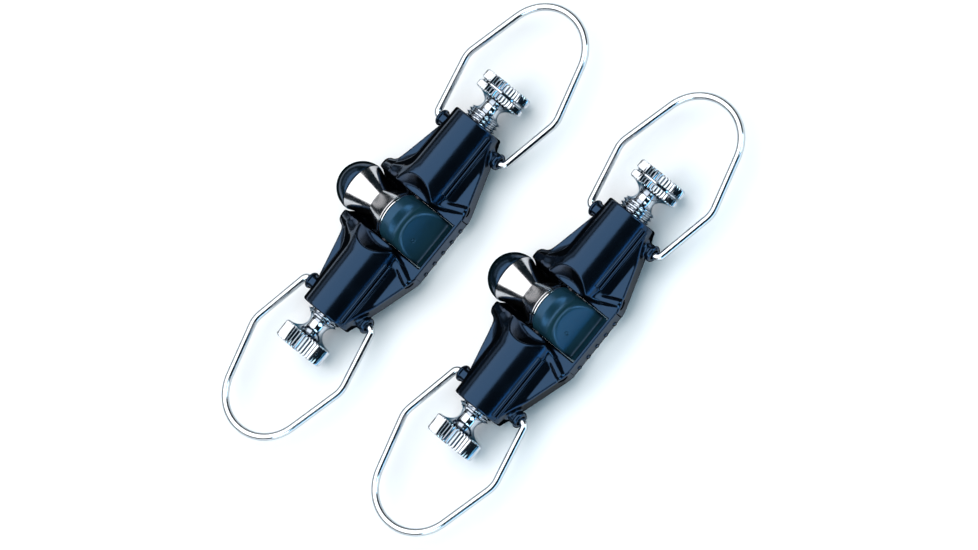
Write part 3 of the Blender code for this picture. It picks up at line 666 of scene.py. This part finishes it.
# colour, least and most roughness, the tool marks' stretch, scale and strength
METALS = {
    "polished_chrome": ((0.60, 0.63, 0.67), 0.07, 0.14, (1, 1, 1), 1500, 0.1),
    "roller_steel": ((0.58, 0.57, 0.58), 0.12, 0.22, (0.15, 6, 0.15), 900, 0.5),
    "washer_steel": ((0.86, 0.87, 0.89), 0.10, 0.20, (0.3, 4, 0.3), 900, 0.2),
    "stainless_wire": ((0.66, 0.68, 0.70), 0.10, 0.18, (0.2, 0.2, 3), 1400, 0.2),
    "spring_wire": ((0.62, 0.63, 0.65), 0.22, 0.34, (0.3, 0.3, 3), 1400, 0.2),
    "plain_steel": ((0.62, 0.63, 0.65), 0.25, 0.38, (3, 0.3, 0.3), 900, 0.3),
    # the plunger steel is nearly black as painted shade, so its tips in the gap beside the arm read dark
    "plunger_steel": ((0.05, 0.05, 0.055), 0.35, 0.45, (4, 0.3, 0.3), 900, 0.3),
}
LOOKS = {slot: plastic(slot, *values) for slot, values in PLASTICS.items()}
LOOKS.update({slot: metal(slot, *values) for slot, values in METALS.items()})


def show(name, mesh, body, slot, centre, half_turn=False, stretch=None):
    """Put one visible piece in place of the CAD node of the same name.

    With stretch (another body, start, end) the piece's place is baked into its mesh and it is not attached to a
    body; the body, start and end in stretch are not used.
    """
    piece = bpy.data.objects.new(name + "_skin", mesh)
    bpy.context.scene.collection.objects.link(piece)
    if not mesh.materials:
        mesh.materials.append(LOOKS[slot])
    piece.location = centre
    piece.rotation_euler = (0, 0, math.pi if half_turn else 0)
    if stretch is None:
        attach(piece, body)
    else:
        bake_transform(piece)
    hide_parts(name)


SHAPES = {
    "housing": meshed("housing", housing_field, *HOUSING_BOX, HOUSING_STEP),
    "trigger_arm": meshed("trigger_arm", arm_field, *ARM_BOX, ARM_STEP),
    "roller": roller_mesh(),
    "thrust_washer": washer_mesh(),
    "dome_cap": dome_mesh(),
    "bail": bail_mesh(),
    "knob_right": knob_mesh("knob_right", *KNOB_RIGHT),
    "knob_left": knob_mesh("knob_left", *KNOB_LEFT),
}
joints = {joint["name"]: joint for joint in frame["joints"]}
for clip in ("clip_a", "clip_b"):
    centre = Vector(joints[f"{clip}_trigger_rock"]["pos_m"])
    show(f"{clip}_housing", SHAPES["housing"], f"{clip}_body", "housing_nylon", centre)
    show(f"{clip}_trigger_arm", SHAPES["trigger_arm"], f"{clip}_trigger", "arm_nylon", centre)
    show(f"{clip}_thrust_washer", SHAPES["thrust_washer"], f"{clip}_trigger", "washer_steel", centre)
    show(f"{clip}_dome_cap", SHAPES["dome_cap"], f"{clip}_trigger", "cap_nylon", centre)
    show(f"{clip}_roller", SHAPES["roller"], f"{clip}_roller", "roller_steel", centre)
    for end, side in (("right", 1), ("left", -1)):
        left, seat_face = end == "left", SEAT_FACES[end]
        knob = SHAPES[f"knob_{end}"]
        show(f"{clip}_tension_knob_{end}", knob, f"{clip}_knob_{end}", "polished_chrome", centre, left)
        spring = spring_mesh(seat_face)
        start, finish = (centre + MM * Vector((side * x, 0, 0)) for x in (PLUNGER_HEAD_END, seat_face))
        stretch = (f"{clip}_seat_{end}", start, finish)
        show(f"{clip}_spring_{end}", spring, f"{clip}_body", "spring_wire", centre, left, stretch)
        pivot = centre + MM * Vector((side * PIVOT_X, 0, PIVOT_Z))
        show(f"{clip}_bail_{end}", SHAPES["bail"], f"{clip}_bail_{end}", "stainless_wire", pivot, left)
for part in frame["record"]["subparts"]:
    node = frame["nodes"][part["node"]]
    node.data.materials.clear()
    node.data.materials.append(LOOKS[part["material_slot"]])


def set_floor_and_world():
    """A pale floor under the clips and a dim world."""
    half = FLOOR_HALF
    floor = bpy.data.meshes.new("floor")
    corners = [(-half, -half, 0), (half, -half, 0), (half, half, 0), (-half, half, 0)]
    floor.from_pydata(corners, [], [(0, 1, 2, 3)])
    floor.materials.append(new_look("floor_paper", FLOOR_COLOUR, FLOOR_ROUGHNESS, 0.0)[0])
    floor_piece = bpy.data.objects.new("floor", floor)
    bpy.context.scene.collection.objects.link(floor_piece)

    world = bpy.data.worlds.new("studio")
    bpy.context.scene.world = world
    world.use_nodes = True
    background = world.node_tree.nodes["Background"]
    background.inputs["Color"].default_value = WORLD_COLOUR
    background.inputs["Strength"].default_value = WORLD_STRENGTH


def set_light(name, place, aim, size, power, colour):
    """A rectangular soft box that the camera doesn't see."""
    light = bpy.data.lights.new(name, "AREA")
    light.shape, light.size, light.size_y = "RECTANGLE", *size
    light.energy, light.color = power, colour
    lamp = bpy.data.objects.new(name, light)
    bpy.context.scene.collection.objects.link(lamp)
    lamp.location = place
    lamp.rotation_euler = (Vector(aim) - Vector(place)).to_track_quat("-Z", "Y").to_euler()
    lamp.visible_camera = False


def set_camera():
    """A long lens that looks down at the clips from behind them, turned so that they lie aslant."""
    camera = bpy.data.cameras.new("camera")
    camera.lens, camera.sensor_width = CAMERA_LENS, CAMERA_SENSOR
    camera.clip_start, camera.clip_end = CAMERA_CLIP
    seat = bpy.data.objects.new("camera", camera)
    bpy.context.scene.collection.objects.link(seat)
    aim = Vector(joints["clip_a_trigger_rock"]["pos_m"]) + MM * Vector(CAMERA_AIM)
    turns = ((CAMERA_TURN, "Z"), (CAMERA_LEAN, "X"), (CAMERA_ROLL, "Z"))
    turn, lean, roll = (Matrix.Rotation(math.radians(angle), 4, axis) for angle, axis in turns)
    back = Matrix.Translation((0, 0, MM * CAMERA_DISTANCE))
    seat.matrix_world = Matrix.Translation(aim) @ turn @ lean @ roll @ back
    bpy.context.scene.camera = seat


set_floor_and_world()
for light_values in LIGHTS:
    set_light(*light_values)
set_camera()
bpy.context.scene.view_settings.view_transform = "Standard"
